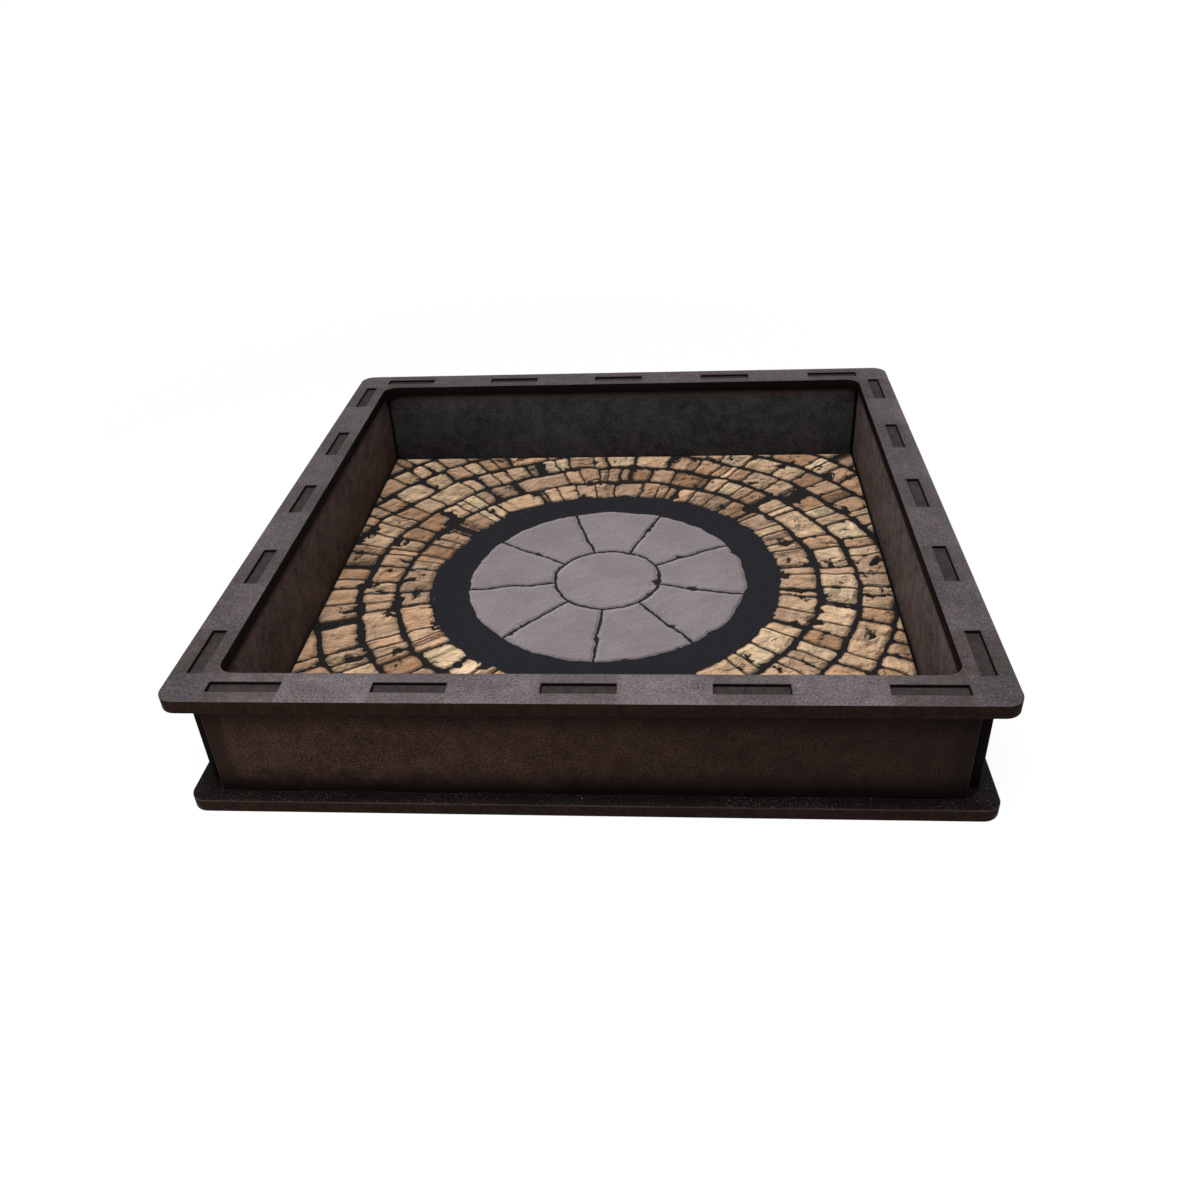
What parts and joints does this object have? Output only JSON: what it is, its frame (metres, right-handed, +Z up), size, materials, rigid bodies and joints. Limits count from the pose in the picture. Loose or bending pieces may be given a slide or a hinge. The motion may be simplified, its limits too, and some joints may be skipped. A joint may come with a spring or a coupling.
{
  "type": "dice tray",
  "caption": "Square open-topped tray of slotted black board with a lipped rim, lined walls and a soft mat, for rolling and holding dice.",
  "frame": {"origin": "centre of the tray in plan, on the underside of the base plate", "axes": "+Z up, -Y towards the front wall, +X to the right; the four sides are alike"},
  "size_m": [0.225, 0.225, 0.04],
  "materials": {
    "board": "matt black-dyed fibreboard with charred laser-cut edges",
    "liner_board": "matt black-dyed fibreboard",
    "mat_cloth": "printed woven cloth bonded to rubber"
  },
  "bodies": {
    "root": {"base_plate": "board", "rim_frame": "board", "wall_front": "board", "wall_back": "board", "wall_left": "board", "wall_right": "board", "liner_front": "liner_board", "liner_back": "liner_board", "liner_left": "liner_board", "liner_right": "liner_board", "play_mat": "mat_cloth"}
  },
  "joints": []
}
